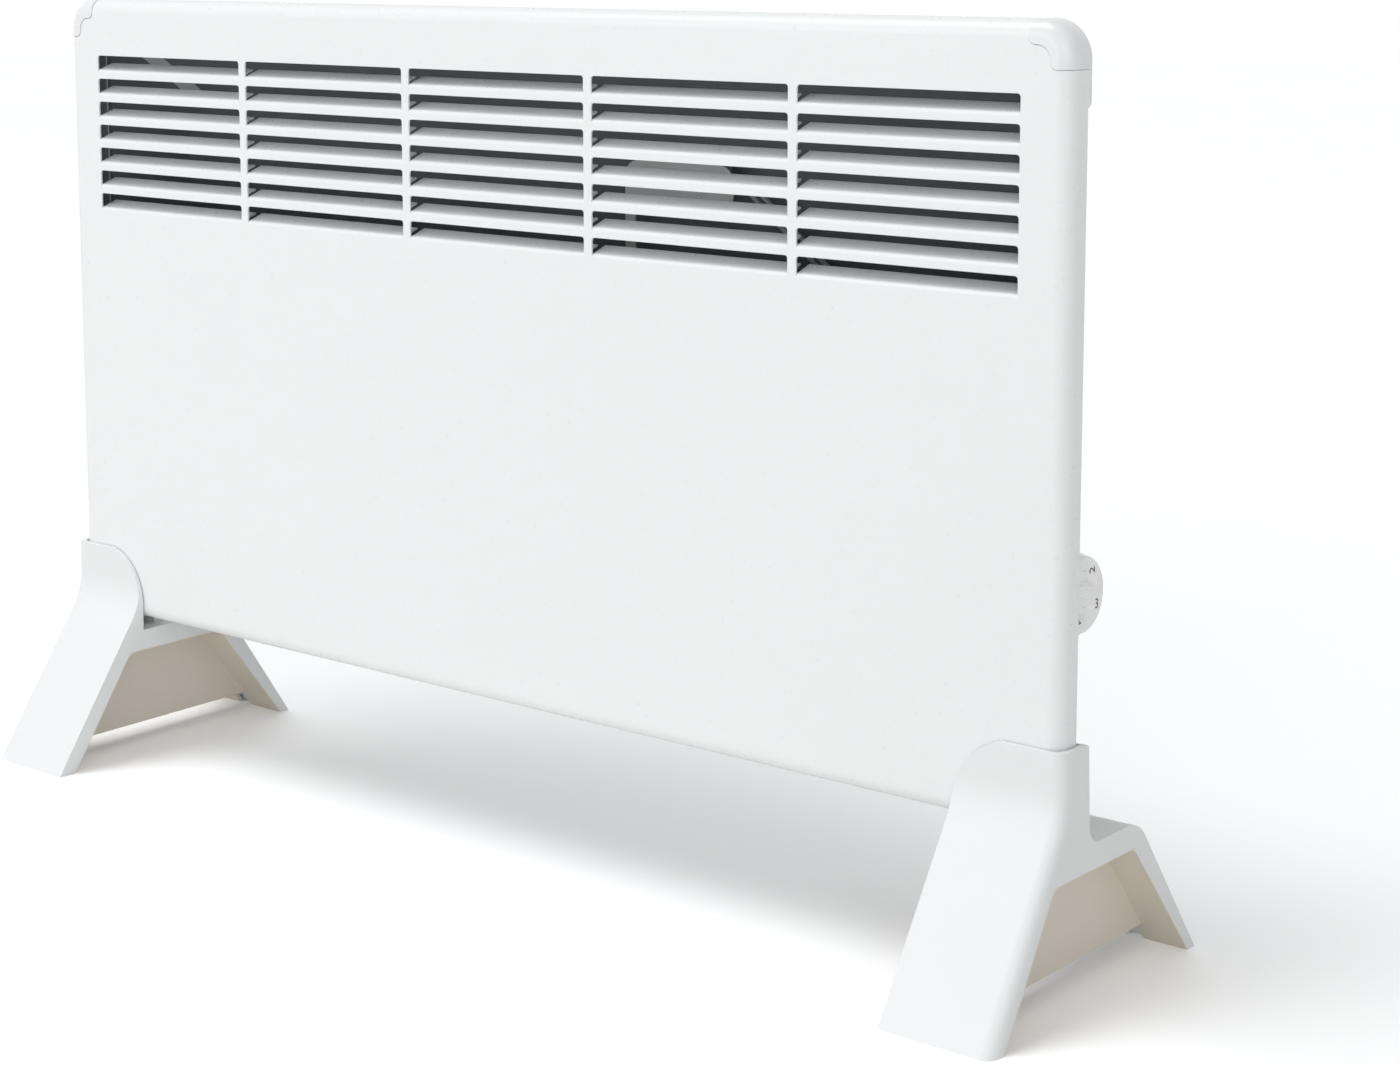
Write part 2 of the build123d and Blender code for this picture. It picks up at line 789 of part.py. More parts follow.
def cutout_leads():
    """Two leads side by side from the cut-out's tabs down into the top of the control box."""
    depth = cutout_plate_depth + cutout_sheet + cutout_thickness / 2
    start = cutout_x + cutout_radius + cutout_tab_reach
    knee = cutout_x + cutout_plate_width / 2 + wire_bend
    leads = []
    for up, end in ((lead_spacing / 2, box_right - 20), (-lead_spacing / 2, box_right - 26)):
        points = [
            (start, depth, cutout_z + up),
            (knee, depth, cutout_z + up),
            (end - 12, knob_depth + 6, box_top + 8),
            (end, knob_depth, box_top - 14),
            (end, knob_depth, knob_z + thermostat_height / 2),
        ]
        leads.append(wire(points))
    return leads


# ---- control box


def end_wall_x(depth):
    """X of the rear cover's right end wall, outside, at a depth."""
    return mouth_half - side_run * (depth - edge_depth) / (rear_depth - edge_depth)


def control_box():
    """Moulded housing, open to the front; its end stands in a recess with a cheek above and below."""
    z = (box_low + box_fit, box_top - box_fit)
    meet = edge_depth + (mouth_half - box_right) * (rear_depth - edge_depth) / side_run
    points = [
        (box_left, behind(box_front)),
        (end_wall_x(box_front), behind(box_front)),
        (box_right, behind(meet)),
        (box_right, behind(inner_back)),
        (box_left, behind(inner_back)),
    ]
    box = along_z(outline(points), *z)
    inside = (box_left + box_wall, box_right - box_wall)
    box -= slab(inside, (box_front - 1, inner_back - box_wall), (z[0] + box_wall, z[1] - box_wall))
    recess = (z[0] + recess_cheek, z[1] - recess_cheek)
    box -= slab((box_right, half_width), (box_front - 1, rear_depth), recess)
    boss_front = inner_back - box_wall - boss_height
    for x, boss_z in box_screw_spots():
        box += rod_y(x, boss_z, screw_radius + boss_wall, boss_front, inner_back - 1)
        box -= rod_y(x, boss_z, screw_radius, boss_front + 1, inner_back + 1)
    box -= rod_x(knob_depth, knob_z, neck_radius, box_right - 4, box_right + 1)
    box -= switch_block(switch_width, switch_height, box_right - 4, box_right + 1)
    box -= rod_y(gland_x, gland_z, gland_radius, inner_back - 4, inner_back + 1)
    slot = (box_right - lead_slot_inset[0], box_right - lead_slot_inset[1])
    slot_depth = (knob_depth - 4, knob_depth - 4 + lead_slot_width)
    box -= slab(slot, slot_depth, (z[1] - box_wall - 1, z[1] + 1))
    for depth, hole_z in lead_holes():
        hole = wire_radius + lead_clearance
        box -= rod_x(depth, hole_z, hole, box_left - 1, box_left + box_wall + 1)
    return box


def lead_holes():
    """Depth and z of the three lead holes in the box's inner wall."""
    return [(element_depth, element_z), (return_depth, return_z), (earth_depth, earth_z)]


def control_box_lid():
    """Flat lid on the box's open front, on into the recess's front."""
    end = end_wall_x(box_front) - lid_gap
    depth = (box_front - lid_thickness, box_front)
    return slab((box_left, end), depth, (box_low + box_fit, box_top - box_fit))


def box_screw_spots():
    across, down = box_screw_inset
    return [(box_left + across, box_top - down), (box_right - box_width * 0.4, box_low + across)]


def box_screws():
    return [pan_screw(x, z, rear_depth, box_screw_reach) for x, z in box_screw_spots()]


def switch_block(width, height, start, end):
    """Block round the switch's middle, between two x."""
    depth = (knob_depth - width / 2, knob_depth + width / 2)
    return slab((start, end), depth, (switch_z - height / 2, switch_z + height / 2))


# ---- thermostat


def thermostat_body():
    """Thermostat behind the box's end wall, its neck in the wall and its bore open to the end."""
    start = box_right - box_wall - thermostat_width
    half_depth, half_height = thermostat_thickness / 2, thermostat_height / 2
    depth = (knob_depth - half_depth, knob_depth + half_depth)
    wall = box_right - box_wall
    body = slab((start, wall), depth, (knob_z - half_height, knob_z + half_height))
    body += rod_x(knob_depth, knob_z, neck_radius, wall - 1, wall + neck_length)
    bore = spindle_radius + spindle_fit
    return body - rod_x(knob_depth, knob_z, bore, box_right - spindle_depth, wall + neck_length + 1)


def spindle_end():
    """X of the spindle's outer end, inside the knob's grip bar."""
    return box_right + knob_gap + knob_height - spindle_cover


def thermostat_spindle():
    start = box_right - spindle_depth + spindle_end_gap
    return rod_x(knob_depth, knob_z, spindle_radius, start, spindle_end())


def knob_profile(base, face):
    """Half section of the knob about its axis: a straight skirt, then a taper to the face."""
    points = [
        (base, 0),
        (face, 0),
        (face, knob_face_radius),
        (face - knob_taper, knob_radius),
        (base, knob_radius),
    ]
    return outline(points, [0, 0, knob_rim, knob_taper / 2, 0])


def knob_dishes(face):
    """Cutters for the two hollows in the knob's face, with the grip bar left between them."""
    plan = Circle(dish_radius) - Rectangle(3 * dish_radius, bar_width)
    plan = fillet(plan.vertices(), dish_corner)
    turned = (0, cos(radians(bar_turn)), -sin(radians(bar_turn)))
    plane = Plane(origin=(face, behind(knob_depth), knob_z), x_dir=turned, z_dir=(-1, 0, 0))
    return extrude(plane * plan, amount=dish_depth, taper=dish_slope)


def thermostat_knob():
    """Round hollow knob with a numbered rim round two hollows and a grip bar."""
    base = box_right + knob_gap
    face = base + knob_height
    section = Plane(origin=(0, 0, 0), x_dir=(1, 0, 0), z_dir=(0, 1, 0)) * knob_profile(base, face)
    knob = Pos(0, behind(knob_depth), knob_z) * revolve(section, Axis.X)
    roof = face - dish_depth - knob_wall
    hollow = rod_x(knob_depth, knob_z, knob_radius - knob_wall, base - 1, roof)
    hollow -= rod_x(knob_depth, knob_z, spindle_radius + knob_wall, base - 2, face)
    bore = rod_x(knob_depth, knob_z, spindle_radius, base - 1, spindle_end())
    return knob - knob_dishes(face) - hollow - bore


# ---- switch


def switch_body():
    """Snap-in switch: a bezel on the box's end and a body behind it, hollow for the rocker."""
    body = switch_block(switch_width, switch_height, box_right - switch_body_depth, box_right)
    face = box_right + bezel_thickness
    bezel_size = (switch_width + 2 * bezel_border, switch_height + 2 * bezel_border)
    bezel = switch_block(*bezel_size, box_right, face)
    body += fillet(bezel.faces().sort_by(Axis.X)[-1].edges(), bezel_edge)
    body -= switch_block(*switch_room(), rocker_x - rocker_tail - rocker_room, face + 1)
    return body - rocker_pin_rod(rocker_pin + rocker_fit, switch_width / 2 - pin_cover)


def switch_room():
    """Width and height of the room for the rocker."""
    return switch_width - 2 * switch_wall, switch_height - 2 * switch_wall


def rocker_pin_rod(radius, half_length):
    """Rocker's pivot pin, or its hole, along Y."""
    return rod_y(rocker_x, switch_z, radius, knob_depth - half_length, knob_depth + half_length)


def switch_rocker():
    """Two-faced rocker on a cross pin, tipped to the on side."""
    room_width, room_height = switch_room()
    half = room_height / 2 - rocker_swing_gap
    width = room_width / 2 - rocker_gap
    top = box_right + bezel_thickness + rocker_proud
    tail = rocker_x - rocker_tail
    spots = [
        (tail, switch_z - rocker_tail_half),
        (rocker_x, switch_z - half),
        (top, switch_z - half),
        (top - rocker_dip, switch_z),
        (top, switch_z + half),
        (rocker_x, switch_z + half),
        (tail, switch_z + rocker_tail_half),
    ]
    face = outline(spots, [2, 1.5, 0.8, 0, 0.8, 1.5, 2])
    rocker = along_y(face, knob_depth - width, knob_depth + width)
    rocker += rocker_pin_rod(rocker_pin, switch_width / 2 - pin_cover - pin_end_gap)
    axis = Axis((rocker_x, behind(knob_depth), switch_z), (0, 1, 0))
    return rocker.rotate(axis, rocker_swing)


# ---- terminals, cord inlet, leads and fastenings


def terminal_block():
    """Three-pole block on the box's back wall, with an open hole over each screw."""
    left, low, back = terminal_place()
    front = back - block_thickness
    block = slab((left, left + block_width), (front, back), (low, low + block_height))
    for x, z in terminal_screw_spots():
        block -= rod_y(x, z, block_screw, front - 1, back - block_floor)
    for x in sorted({x for x, _ in terminal_screw_spots()}):
        entry = Pos(x, behind(back - block_entry)) * Circle(wire_radius)
        block -= along_z(entry, low - 1, low + block_entry_depth)
    return block


def terminal_place():
    """Left x, lower z and back depth of the terminal block."""
    return box_left + box_wall + block_inset, box_low + block_lift, inner_back - box_wall


def terminal_screw_spots():
    left, low, _ = terminal_place()
    pitch = block_width / block_poles
    xs = [left + pitch * (i + 0.5) for i in range(block_poles)]
    return [(x, low + block_height * share) for x in xs for share in (0.25, 0.75)]


def terminal_screws():
    """Slotted screws sunk in the terminal block."""
    back = terminal_place()[2]
    seat, top = back - block_floor, back - block_thickness + block_sink
    half = screw_slot / 2
    screws = []
    for x, z in terminal_screw_spots():
        slot = slab((x - block_screw, x + block_screw), (top - 1, top + 1), (z - half, z + half))
        screws.append(rod_y(x, z, block_screw, top, seat) - slot)
    return screws


def cable_gland():
    """Cord inlet through the back: flange and nose outside, threaded barrel inside."""
    nose = rear_depth + gland_flange_thickness + gland_nose
    gland = rod_y(gland_x, gland_z, gland_radius, gland_inner, rear_depth)
    gland += rod_y(gland_x, gland_z, gland_flange, rear_depth, rear_depth + gland_flange_thickness)
    gland += rod_y(gland_x, gland_z, gland_radius + gland_nose_rise, rear_depth, nose)
    gland = fillet(gland.faces().sort_by(Axis.Y)[-1].edges(), gland_nose_round)
    return gland - rod_y(gland_x, gland_z, gland_bore, gland_inner - 1, nose + 1)


def gland_nut():
    """Hexagonal nut that pulls the gland up against the box's back wall."""
    start = inner_back - box_wall - nut_thickness
    nut = along_y(Pos(gland_x, gland_z) * RegularPolygon(nut_radius, 6), start, start + nut_thickness)
    return nut - rod_y(gland_x, gland_z, gland_radius, start - 1, start + nut_thickness + 1)


def element_lead():
    """From the element's right tab through the box's wall to the thermostat."""
    start = bracket_right_x + core_overhang + terminal_length
    end = box_right - box_wall - thermostat_width
    rise_z = knob_z - thermostat_height / 4
    points = [
        (start, element_depth, element_z),
        (box_left + wire_bend, element_depth, element_z),
        (end - 2 * wire_bend, element_depth, rise_z),
        (end, element_depth, rise_z),
    ]
    return wire(points)


def return_lead():
    """From the element's left tab along the underside to the terminal block."""
    start = bracket_left_x - core_overhang - terminal_length / 2
    run_z = mouth_bottom + return_lift
    points = [
        (start, element_depth, element_z - terminal_width / 2),
        (start, element_depth, run_z + 12),
        (start + 16, return_depth, run_z),
        (box_left - 20, return_depth, run_z),
        (box_left - 12, return_depth, return_z),
        (terminal_place()[0], return_depth, return_z),
    ]
    return wire(points)


def lead_clips():
    """Moulded clips that stand on the rear cover's underside and hold the return lead."""
    run_z = mouth_bottom + return_lift
    rise = bottom_run / (inner_back - edge_depth)
    clips = []
    reach = wire_radius + clip_wall
    front, back = return_depth - reach, return_depth + reach
    front_foot, back_foot = (
        mouth_bottom + (depth - edge_depth) * rise + rear_sheet for depth in (front, back)
    )
    points = [
        (behind(front), front_foot),
        (behind(back), back_foot),
        (behind(back), run_z + reach),
        (behind(front), run_z + reach),
    ]
    face = outline(points, [0, 0, 1, 1])
    first, last = bracket_left_x + clip_inset, box_left - clip_inset
    half = clip_width / 2
    for i in range(clip_count):
        x = first + (last - first) * i / (clip_count - 1)
        hole = rod_x(return_depth, run_z, wire_radius, x - clip_width, x + clip_width)
        clips.append(along_x(face, x - half, x + half) - hole)
    return clips


def switch_leads():
    """Two leads from the terminal block's lower edge to the back of the switch."""
    left, low, back = terminal_place()
    pitch = block_width / block_poles
    depth, end_depth = back - block_entry, knob_depth + 2
    end = box_right - switch_body_depth
    leads = []
    for pole, z in ((1, switch_z - 10), (2, switch_z - 2)):
        x = left + pitch * (pole + 0.5)
        points = [
            (x, depth, low + block_entry_depth),
            (x, depth, z),
            (end - 8, end_depth, z),
            (end, end_depth, z),
        ]
        leads.append(wire(points, short_bend))
    return leads


def earth_stud():
    """Stud and nut on the rear cover beside the control box."""
    front = inner_back - earth_stand
    stud = rod_y(earth_x, earth_z, screw_radius, front - earth_nut, inner_back)
    stud += rod_y(earth_x, earth_z, earth_collar, front + earth_nut, inner_back)
    nut = Pos(earth_x, earth_z) * RegularPolygon(earth_nut_radius, 6)
    return stud + along_y(nut, front, front + earth_nut)


def earth_lead():
    """Straight from the terminal block through the box's wall to a lug on the earth stud's nut."""
    half = lug_thickness / 2
    lug = rod_y(earth_x, earth_z, lug_radius, earth_depth - half, earth_depth + half)
    lug += rod_x(earth_depth, earth_z, wire_radius, earth_x + lug_radius - 0.3, terminal_place()[0])
    return lug - rod_y(earth_x, earth_z, screw_radius, earth_depth - 2, earth_depth + 2)


def case_rivets():
    """Rivets of the element's brackets and the cut-out's bracket, headed on both sides."""
    rivets = []
    for spots, sheet in ((bracket_rivet_spots(), bracket_sheet), (cutout_rivet_spots(), cutout_sheet)):
        seat = inner_back - sheet
        for x, z in spots:
            rivet = rod_y(x, z, screw_radius, seat, rear_depth)
            head = rod_y(x, z, screw_head, seat - rivet_head_height, seat)
            tail = rod_y(x, z, screw_head, rear_depth, rear_depth + rivet_tail_height)
            rivets.append(rivet + head + tail)
    return rivets


def rating_label():
    """Blank rating label on the back."""
    x, z = -back_half / 2, back_bottom + label_height
    half = label_width / 2
    depth = (rear_depth, rear_depth + label_thickness)
    return slab((x - half, x + half), depth, (z, z + label_height))


# ---- the nodes

caps = at_corners(corner_cap())
tails = {"top_right": cap_tail(), "top_left": mirrored(cap_tail())}
foot = right_foot()

nodes = {
    "front_cover": front_cover(),
    "rear_cover": rear_cover(),
    "corner_cap_top_left": caps["top_left"] + tails["top_left"],
    "corner_cap_top_right": caps["top_right"] + tails["top_right"],
    "corner_cap_bottom_left": caps["bottom_left"],
    "corner_cap_bottom_right": caps["bottom_right"],
    "left_foot": mirrored(foot),
    "right_foot": foot,
    "heating_fins": heating_fins(),
    "element_core": element_core(),
    "element_bushes": element_bushes(),
    "element_terminals": element_terminals(),
    "element_bracket_left": element_bracket(bracket_left_x, 1),
    "element_bracket_right": element_bracket(bracket_right_x, -1),
    "cutout_bracket": cutout_bracket(),
    "thermal_cutout": thermal_cutout(),
    "cutout_leads": cutout_leads(),
    "control_box": control_box(),
    "control_box_lid": control_box_lid(),
    "box_screws": box_screws(),
    "thermostat_body": thermostat_body(),
    "thermostat_spindle": thermostat_spindle(),
    "thermostat_knob": thermostat_knob(),
    "switch_body": switch_body(),
    "switch_rocker": switch_rocker(),
    "terminal_block": terminal_block(),
    "terminal_screws": terminal_screws(),
    "cable_gland": cable_gland(),
    "gland_nut": gland_nut(),
    "element_lead": element_lead(),
    "return_lead": return_lead(),
    "switch_leads": switch_leads(),
    "earth_lead": earth_lead(),
    "earth_stud": earth_stud(),
    "lead_clips": lead_clips(),
    "case_screws": case_screws(),
    "bracket_rivets": case_rivets(),
    "rating_label": rating_label(),
}

os.makedirs("parts", exist_ok=True)
for name, shape in nodes.items():
    pieces = shape if isinstance(shape, list) else [shape]
    solids = [solid for piece in pieces for solid in piece.solids()]
    export_step(Compound(children=solids) if len(solids) > 1 else solids[0], f"parts/{name}.step")
    print(name, len(solids))
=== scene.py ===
import math

import bpy
from mathutils import Matrix, Vector


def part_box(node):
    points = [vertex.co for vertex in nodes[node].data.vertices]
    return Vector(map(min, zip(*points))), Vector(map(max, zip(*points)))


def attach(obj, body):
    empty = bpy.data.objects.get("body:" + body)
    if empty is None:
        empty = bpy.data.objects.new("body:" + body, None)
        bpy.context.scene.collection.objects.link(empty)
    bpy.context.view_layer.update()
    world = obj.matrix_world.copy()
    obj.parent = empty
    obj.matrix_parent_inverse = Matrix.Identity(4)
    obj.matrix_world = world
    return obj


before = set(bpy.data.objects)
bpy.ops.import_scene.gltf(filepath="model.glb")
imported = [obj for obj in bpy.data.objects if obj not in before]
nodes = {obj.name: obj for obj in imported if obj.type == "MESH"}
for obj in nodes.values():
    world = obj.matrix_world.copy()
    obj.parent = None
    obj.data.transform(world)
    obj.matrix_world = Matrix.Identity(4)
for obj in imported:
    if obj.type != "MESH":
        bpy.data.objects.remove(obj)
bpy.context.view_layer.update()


# ---- view and studio
# A louvred panel heater stands on a white paper sweep, seen from its right and a little above.
# A high soft window and a soft box light it from its left and in front, a broad low fill from its right,
# and a white room does the rest.

eye = Vector((1.0167, -1.1416, 0.5234))
view_forward = Vector((-0.65026, 0.74742, -0.13611)).normalized()
view_right = Vector((0.75505, 0.65563, -0.00691))
focal_length, sensor_width = 71.22, 36.0  # mm
view_shift = (0.1002, -0.1663)

camera_data = bpy.data.cameras.new("camera")
camera_data.lens = focal_length
camera_data.sensor_width = sensor_width
camera_data.shift_x, camera_data.shift_y = view_shift
camera_data.clip_end = 40.0
camera = bpy.data.objects.new("camera", camera_data)
bpy.context.scene.collection.objects.link(camera)
side = (view_right - view_right.dot(view_forward) * view_forward).normalized()
up = side.cross(view_forward)
camera.matrix_world = Matrix.Translation(eye) @ Matrix((side, up, -view_forward)).transposed().to_4x4()
bpy.context.scene.camera = camera
bpy.context.scene.view_settings.view_transform = "Standard"


def linear(hex_colour):
    """Linear RGBA of an sRGB hex colour."""
    channels = [int(hex_colour[i : i + 2], 16) / 255 for i in (1, 3, 5)]
    return tuple(c / 12.92 if c <= 0.04045 else ((c + 0.055) / 1.055) ** 2.4 for c in channels) + (1.0,)


def add_node(tree, kind, inputs=None, **settings):
    """Adds a node with its settings; each input takes a value or another node's output."""
    made = tree.nodes.new(kind)
    for name, value in settings.items():
        setattr(made, name, value)
    for name, value in (inputs or {}).items():
        if isinstance(value, bpy.types.NodeSocket):
            tree.links.new(value, made.inputs[name])
        else:
            made.inputs[name].default_value = value
    return made


def sun(name, heading, spread_deg, strength, tint):
    """Distant lamp that shines along a heading, its shadows softened by its spread."""
    data = bpy.data.lights.new(name, "SUN")
    data.energy = strength
    data.angle = math.radians(spread_deg)
    data.color = linear(tint)[:3]
    lamp = bpy.data.objects.new(name, data)
    lamp.rotation_euler = Vector(heading).to_track_quat("-Z", "Y").to_euler()
    bpy.context.scene.collection.objects.link(lamp)


sun("high_window", (0.34, 0.27, -0.9), 40.0, 1.15, "#fdfeff")
sun("low_fill", (-0.60, 0.76, -0.26), 50.0, 0.62, "#fdfeff")

soft_box_place, soft_box_target = Vector((-0.85, -2.05, 0.95)), Vector((-0.1, 0.0, 0.25))
box_data = bpy.data.lights.new("low_soft_box", "AREA")
box_data.shape = "RECTANGLE"
box_data.size, box_data.size_y = 1.2, 1.4  # m
box_data.energy = 7.5  # W
box_data.color = linear("#fdfeff")[:3]
soft_box = bpy.data.objects.new("low_soft_box", box_data)
soft_box.location = soft_box_place
soft_box.rotation_euler = (soft_box_target - soft_box_place).to_track_quat("-Z", "Y").to_euler()
bpy.context.scene.collection.objects.link(soft_box)

world = bpy.data.worlds.new("white_room")
bpy.context.scene.world = world
world.use_nodes = True
room = world.node_tree
room.nodes.clear()
ray = add_node(room, "ShaderNodeLightPath")
straight = add_node(
    room,
    "ShaderNodeMath",
    {0: ray.outputs["Is Camera Ray"], 1: ray.outputs["Is Glossy Ray"]},
    operation="MAXIMUM",
)
# The room is pure white to the eye and in reflections, and lights the heater at less than half that strength.
seen = add_node(room, "ShaderNodeBackground", {"Color": linear("#ffffff"), "Strength": 1.0})
felt = add_node(room, "ShaderNodeBackground", {"Color": linear("#f8f9fa"), "Strength": 0.42})
blend = add_node(
    room, "ShaderNodeMixShader", {0: straight.outputs[0], 1: felt.outputs[0], 2: seen.outputs[0]}
)
add_node(room, "ShaderNodeOutputWorld", {"Surface": blend.outputs[0]})

# The paper burns out to white before the eye, and keeps only its soft shadows.
paper_size, overexposed, paper_glow = 16.0, (1.2, 1.2, 1.2, 1.0), 0.07
bpy.ops.object.select_all(action="DESELECT")
bpy.ops.mesh.primitive_plane_add(size=paper_size, location=(0.0, 0.0, 0.0))
floor = bpy.context.object
floor.name = "paper_floor"
paper = bpy.data.materials.new("matt_white_paper")
paper.use_nodes = True
tree = paper.node_tree
tree.nodes.clear()
ray = add_node(tree, "ShaderNodeLightPath")
seen_white = add_node(
    tree,
    "ShaderNodeMix",
    {"Factor": ray.outputs["Is Camera Ray"], 6: linear("#f4f4f3"), 7: overexposed},
    data_type="RGBA",
)
matt = add_node(tree, "ShaderNodeBsdfDiffuse", {"Color": seen_white.outputs[2]})
lift = add_node(
    tree, "ShaderNodeMath", {0: ray.outputs["Is Camera Ray"], 1: paper_glow}, operation="MULTIPLY"
)
glow = add_node(tree, "ShaderNodeEmission", {"Color": linear("#ffffff"), "Strength": lift.outputs[0]})
sheet = add_node(tree, "ShaderNodeAddShader", {0: matt.outputs[0], 1: glow.outputs[0]})
add_node(tree, "ShaderNodeOutputMaterial", {"Surface": sheet.outputs[0]})
floor.data.materials.append(paper)


# ---- rear cover
# Folded sheet-steel tray that closes the back, screwed to the front cover's lip all round.
# It is powder coated dark grey with a fine texture, so little light comes back from inside.


def surface(name, colour, roughness, grain_mm, grain_height_mm, **more):
    """Principled material: slow patches of shade, uneven gloss and a bump of grain over Object coordinates.

    stretch lengthens the grain along each axis, shade and spread are how much colour and roughness vary,
    and every other value goes to the shader's socket of that name."""
    stretch, shade = more.pop("stretch", (1.0, 1.0, 1.0)), more.pop("shade", 0.03)
    spread, patch_mm = more.pop("spread", 0.04), more.pop("patch_mm", 60.0)
    made = bpy.data.materials.new(name)
    made.use_nodes = True
    tree = made.node_tree
    tree.nodes.clear()
    place = add_node(tree, "ShaderNodeTexCoord").outputs["Object"]
    along = add_node(tree, "ShaderNodeMapping", {"Vector": place, "Scale": [1.0 / s for s in stretch]})
    patch = add_node(tree, "ShaderNodeTexNoise", {"Vector": place, "Scale": 1000.0 / patch_mm, "Detail": 3.0})
    grain = add_node(
        tree,
        "ShaderNodeTexNoise",
        {"Vector": along.outputs[0], "Scale": 1000.0 / grain_mm, "Detail": 2.0, "Roughness": 0.55},
    )
    base = linear(colour)
    dark = tuple(c * (1.0 - shade) for c in base[:3]) + (1.0,)
    tint = add_node(
        tree,
        "ShaderNodeMix",
        {"Factor": patch.outputs["Fac"], 6: dark, 7: base},
        data_type="RGBA",
    )
    gloss = add_node(
        tree,
        "ShaderNodeMapRange",
        {
            "Value": grain.outputs["Fac"],
            "From Min": 0.3,
            "From Max": 0.7,
            "To Min": roughness - spread,
            "To Max": roughness + spread,
        },
    )
    bump = add_node(
        tree,
        "ShaderNodeBump",
        {"Height": grain.outputs["Fac"], "Strength": 1.0, "Distance": grain_height_mm / 1000.0},
    )
    inputs = {
        "Base Color": tint.outputs[2],
        "Roughness": gloss.outputs["Result"],
        "Normal": bump.outputs["Normal"],
    }
    shader = add_node(tree, "ShaderNodeBsdfPrincipled", {**inputs, **more})
    add_node(tree, "ShaderNodeOutputMaterial", {"Surface": shader.outputs["BSDF"]})
    return made


def dress(material, *names):
    """Gives CAD nodes a finished material in place of their plain one."""
    for name in names:
        for place in nodes[name].material_slots:
            place.material = material


# Textured polyester powder coat: a dull dark grey with a sandy grain, coarser than real so that it shows.
rear_coat = surface("dark_textured_powder_coat", "#6f7376", 0.72, 1.8, 0.03, shade=0.06, spread=0.06, IOR=1.4)
dress(rear_coat, "rear_cover")


# ---- corner tabs
# A tab of the side wall laps over the next wall inside three of the rear cover's corners.
# It follows the rounded corner, and its pale colour is a painted highlight for the light that catches the
# corner through the louvres.

lip_inset, side_run, top_run, bottom_run = 0.018, 0.026, 0.042, 0.030
hip_radius, rear_sheet = 0.014, 0.001
tab_sheet, tab_gap = 0.0006, 0.0003
tab_flat = 0.0078  # reach along the flat wall past the rounded corner
tab_start_angle = math.radians(54.0)  # round the corner from the side wall
tab_toe = 0.006
tab_steps, tab_share, tab_start = 10, 0.9, 0.04  # rings, and the share of the slope it covers and starts at

# A bright grey with dull and shiny flakes a few millimetres across; the brightness is a painted highlight on
# the rear cover's dark corner.
tab_painted_highlight = surface(
    "tab_painted_highlight_sheet", "#d6d8d8", 0.5, 5.0, 0.01, shade=0.12, spread=0.1, patch_mm=9.0, Metallic=0.15
)


def place_piece(piece, matrix, body, material):
    """Moves a piece's mesh to its place, its object left at the origin, and gives it its finish and body."""
    piece.data.transform(matrix)
    piece.matrix_world = Matrix.Identity(4)
    piece.data.materials.clear()
    piece.data.materials.append(material)
    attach(piece, body)


def finish_edges(piece, width_mm, segments=2):
    """Bevels a piece's sharp edges and shades it smooth."""
    bevel = piece.modifiers.new("edges", "BEVEL")
    bevel.width, bevel.segments, bevel.limit_method = width_mm / 1000.0, segments, "ANGLE"
    bpy.context.view_layer.objects.active = piece
    bpy.ops.object.modifier_apply(modifier="edges")
    bpy.ops.object.shade_smooth_by_angle(angle=math.radians(35.0))


def alone():
    """Deselects everything before a new primitive."""
    bpy.ops.object.select_all(action="DESELECT")


def pick(piece, kind, wanted):
    """Goes into edit mode with only the wanted vertices or faces of a piece selected."""
    bpy.ops.object.mode_set(mode="EDIT")
    bpy.ops.mesh.select_mode(type=kind)
    bpy.ops.mesh.select_all(action="DESELECT")
    bpy.ops.object.mode_set(mode="OBJECT")
    for part in piece.data.vertices if kind == "VERT" else piece.data.polygons:
        part.select = bool(wanted(part))
    bpy.ops.object.mode_set(mode="EDIT")


